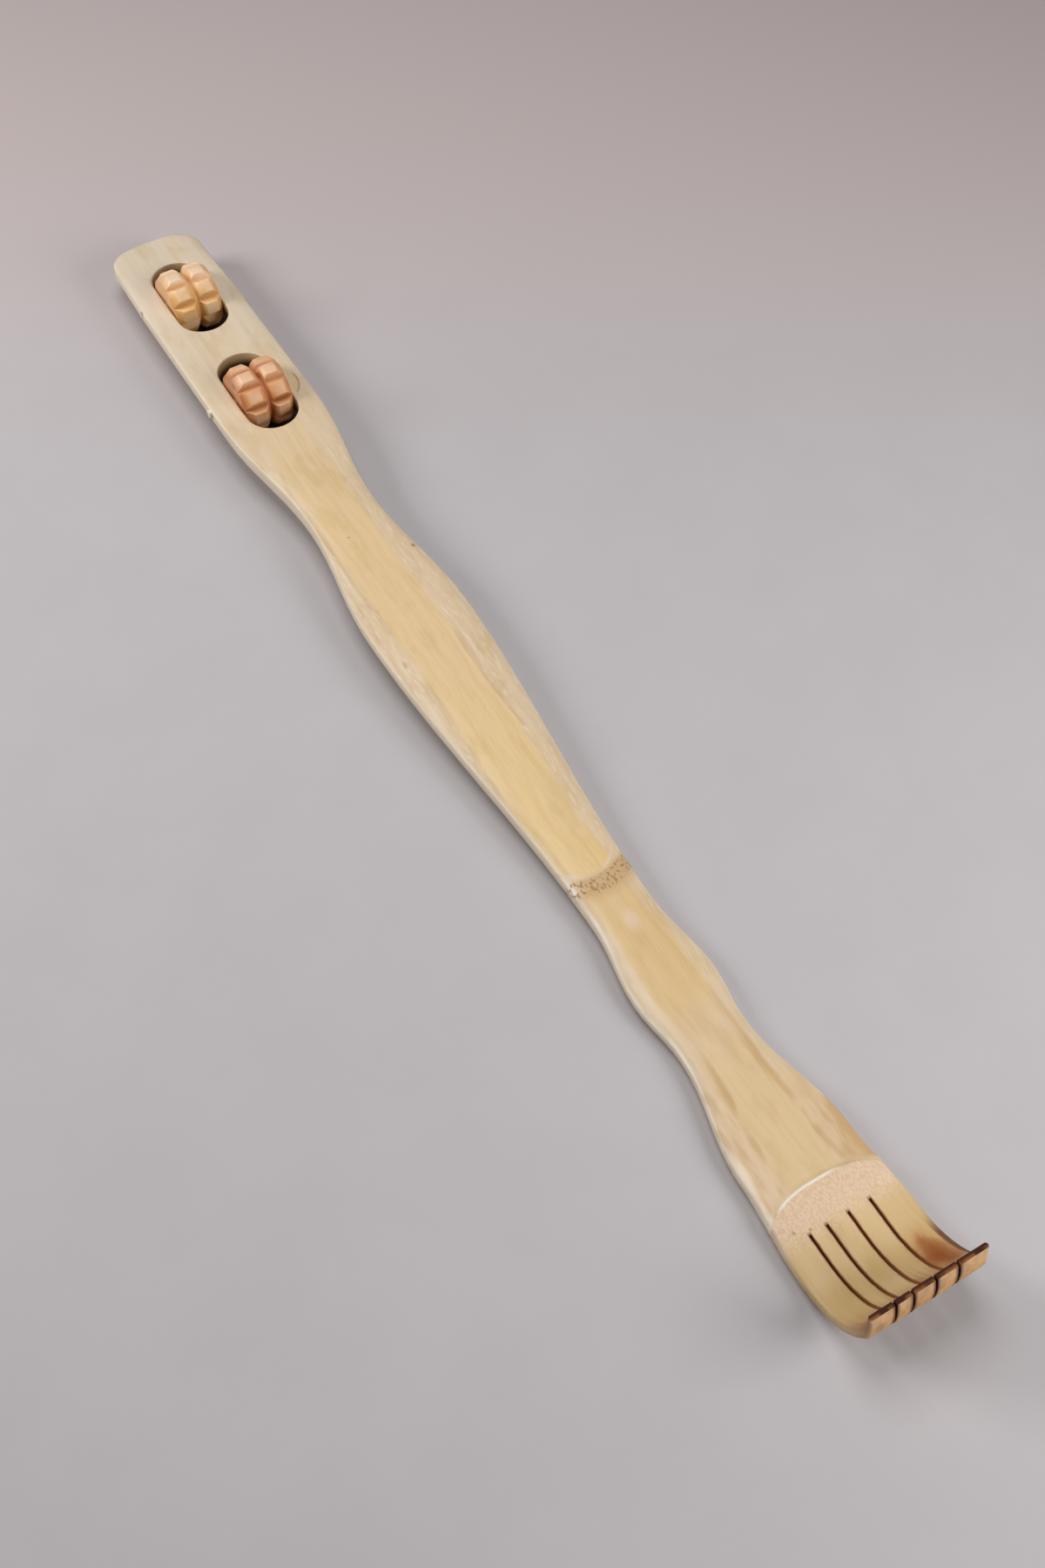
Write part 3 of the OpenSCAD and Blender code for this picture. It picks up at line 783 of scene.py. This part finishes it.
def soften(piece, width, segments, sharp):
    """Round the edges of the selected piece that are sharper than an angle, and shade it smooth."""
    bevel = piece.modifiers.new("Worn edges", "BEVEL")
    bevel.width = width
    bevel.segments = segments
    bevel.limit_method = "ANGLE"
    bevel.angle_limit = math.radians(sharp)
    bpy.ops.object.modifier_apply(modifier=bevel.name)
    bpy.ops.object.shade_smooth_by_angle(angle=math.radians(40))


def finish_piece(piece, node, body):
    """Set a piece on its body in place of its solid."""
    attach(piece, body)
    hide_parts(node)


class SCRATCHER_OT_strip(bpy.types.Operator):
    """Make the bamboo strip with its bent claws"""

    bl_idname = "scratcher.strip"
    bl_label = "Bamboo strip"

    # Places of the skin and the cuts among the strip's materials, after the wall
    SKIN, CUT = 1, 2

    # Shares of a face's normal: square to an axis, onward over the tips, and down to the skin
    SQUARE, ONWARD, DOWN = 0.95, 0.8, -0.4
    TIP_TURN = math.radians(80)
    SLIT_REACH = 15 * MM
    SLIT_END_REACH = 2 * MM

    def execute(self, context):
        sizes, colours = context.scene.scratcher_sizes, context.scene.scratcher_colours
        strip = copy_of("handle", "bamboo_strip")
        for material in (BambooWall(sizes, colours).made(), bamboo_skin(sizes, colours), burnt_cut(colours)):
            strip.data.materials.append(material)
        self.lay_fibres(strip.data, sizes)
        self.share_out(strip, sizes)
        bpy.ops.object.shade_smooth_by_angle(angle=math.radians(50))
        weigh = strip.modifiers.new("Even shading", "WEIGHTED_NORMAL")
        weigh.keep_sharp = True
        bpy.ops.object.modifier_apply(modifier=weigh.name)
        finish_piece(strip, "handle", STRIP_BODY)
        return {"FINISHED"}

    @staticmethod
    def turn_at(point, sizes):
        """How far round the bend a point lies, in radians."""
        if point.x <= sizes.bend_start:
            return 0.0
        return math.atan2(point.x - sizes.bend_start, sizes.bend_height - point.z)

    def lay_fibres(self, mesh, sizes):
        """Store where each point lies along, across and through the strip."""
        fibre = mesh.attributes.new(FIBRE, "FLOAT_VECTOR", "POINT")
        for vertex, entry in zip(mesh.vertices, fibre.data):
            along, across, level = vertex.co
            turn = self.turn_at(vertex.co, sizes)
            if turn:
                out = math.hypot(along - sizes.bend_start, sizes.bend_height - level)
                along = sizes.bend_start + sizes.bend_radius * turn
                level = sizes.bend_height - out
            entry.vector = (along, across, level)

    def share_out(self, strip, sizes):
        """Give the skin and the burnt cuts their own materials, by where the faces look."""
        for face in strip.data.polygons:
            turn = self.turn_at(face.center, sizes)
            up = Vector((-math.sin(turn), 0, math.cos(turn)))
            on = Vector((math.cos(turn), 0, math.sin(turn)))
            past_start = face.center.x - sizes.slit_start
            slit_wall = (abs(face.normal.y) > self.SQUARE and past_start > 0
                         and abs(face.center.y) < self.SLIT_REACH)
            slit_end = face.normal.x > self.SQUARE and abs(past_start) < self.SLIT_END_REACH
            tip = turn > self.TIP_TURN and face.normal.dot(on) > self.ONWARD
            if slit_wall or slit_end or tip:
                face.material_index = self.CUT
            elif face.normal.dot(up) < self.DOWN:
                face.material_index = self.SKIN


class SCRATCHER_OT_rollers(bpy.types.Operator):
    """Make the two knobbed rollers"""

    bl_idname = "scratcher.rollers"
    bl_label = "Rollers"

    def execute(self, context):
        sizes, colours = context.scene.scratcher_sizes, context.scene.scratcher_colours
        tints = {
            "pale_wood": (colours.pale_light, colours.pale_rings_and_shade, colours.pale_worn_and_sheen, colours.pale_notch_shade),
            "brown_wood": (colours.brown_light, colours.brown_rings_and_shade, colours.brown_worn_and_sheen, colours.brown_notch_shade),
        }
        axes = {joint["child"]: joint["pos_m"] for joint in frame["joints"]}
        for node, slot in ROLLERS.items():
            roller = copy_of(node, node + "_wood")
            roller.data.materials.append(turned_wood(slot, axes[node], colours, *tints[slot]))
            bpy.ops.object.mode_set(mode="EDIT")
            bpy.ops.mesh.select_all(action="SELECT")
            bpy.ops.mesh.dissolve_limited(angle_limit=math.radians(1))
            bpy.ops.object.mode_set(mode="OBJECT")
            soften(roller, sizes.knob_round, segments=4, sharp=20)
            finish_piece(roller, node, node)
        return {"FINISHED"}


class SCRATCHER_OT_pins(bpy.types.Operator):
    """Make the pins that the rollers turn on"""

    bl_idname = "scratcher.pins"
    bl_label = "Axle pins"

    def execute(self, context):
        wood = raw_pin(context.scene.scratcher_colours)
        for node in PINS:
            pin = copy_of(node, node + "_pin")
            pin.data.materials.append(wood)
            soften(pin, context.scene.scratcher_sizes.pin_round, segments=3, sharp=30)
            finish_piece(pin, node, STRIP_BODY)
        return {"FINISHED"}


class SCRATCHER_OT_stage(bpy.types.Operator):
    """Lay the floor, hang the lights and set the camera"""

    bl_idname = "scratcher.stage"
    bl_label = "Stage"

    def execute(self, context):
        scene = context.scene
        stage = scene.scratcher_stage
        bpy.ops.mesh.primitive_plane_add(size=stage.floor_size, location=(0, 0, -stage.floor_drop))
        floor = context.object
        floor.name = "floor"
        floor.data.materials.append(floor_paper(scene.scratcher_sizes, scene.scratcher_colours))
        self.hang_lights(scene, stage)
        self.set_camera(scene, stage)
        scene.view_settings.view_transform = "Standard"
        return {"FINISHED"}

    def hang_lights(self, scene, stage):
        """Three square lamps that look at the middle of the scratcher, and a faint even sky."""
        for name, watts, hangs, size in (("left_lamp", stage.left_power, stage.left_from, stage.lamp_size),
                                         ("right_lamp", stage.right_power, stage.right_from, stage.lamp_size),
                                         ("top_lamp", stage.top_power, stage.top_from, stage.top_size)):
            bpy.ops.object.light_add(type="AREA", location=hangs)
            lamp = bpy.context.object
            lamp.name = name
            lamp.data.energy = watts
            lamp.data.size = size
            lamp.rotation_euler = (-Vector(hangs)).to_track_quat("-Z", "Y").to_euler()
        world = bpy.data.worlds.new("studio")
        world.use_nodes = True
        sky = world.node_tree.nodes["Background"]
        sky.inputs["Color"].default_value = (1, 1, 1, 1)
        sky.inputs["Strength"].default_value = stage.sky
        scene.world = world

    def set_camera(self, scene, stage):
        """The camera that took the photograph."""
        bpy.ops.object.camera_add(location=stage.eye)
        camera = bpy.context.object
        camera.name = "photo_camera"
        camera.rotation_mode = "QUATERNION"
        camera.rotation_quaternion = Vector(stage.aim).to_track_quat("-Z", "Y")
        camera.data.lens = stage.lens
        camera.data.sensor_width = 36.0
        camera.data.clip_start = 0.01
        scene.camera = camera


class SCRATCHER_PT_panel(bpy.types.Panel):
    """Lists the scratcher's steps and settings"""

    bl_label = "Back scratcher"
    bl_idname = "SCRATCHER_PT_panel"
    bl_space_type = "VIEW_3D"
    bl_region_type = "UI"
    bl_category = "Scratcher"

    def draw(self, context):
        for step in STEPS:
            self.layout.operator(step.bl_idname)
        for group in (getattr(context.scene, name) for name in GROUPS):
            box = self.layout.box()
            for name in group.bl_rna.properties.keys():
                if name not in {"rna_type", "name"}:
                    box.prop(group, name)


STEPS = (SCRATCHER_OT_strip, SCRATCHER_OT_rollers, SCRATCHER_OT_pins, SCRATCHER_OT_stage)
GROUPS = {
    "scratcher_sizes": ScratcherSizes,
    "scratcher_colours": ScratcherColours,
    "scratcher_stage": ScratcherStage,
}
CLASSES = (*GROUPS.values(), *STEPS, SCRATCHER_PT_panel)


def register():
    for cls in CLASSES:
        bpy.utils.register_class(cls)
    for name, group in GROUPS.items():
        setattr(bpy.types.Scene, name, bpy.props.PointerProperty(type=group))


def unregister():
    for name in GROUPS:
        delattr(bpy.types.Scene, name)
    for cls in reversed(CLASSES):
        bpy.utils.unregister_class(cls)


def main():
    register()
    bpy.ops.scratcher.strip()
    bpy.ops.scratcher.rollers()
    bpy.ops.scratcher.pins()
    bpy.ops.scratcher.stage()


if __name__ == "__main__":
    main()
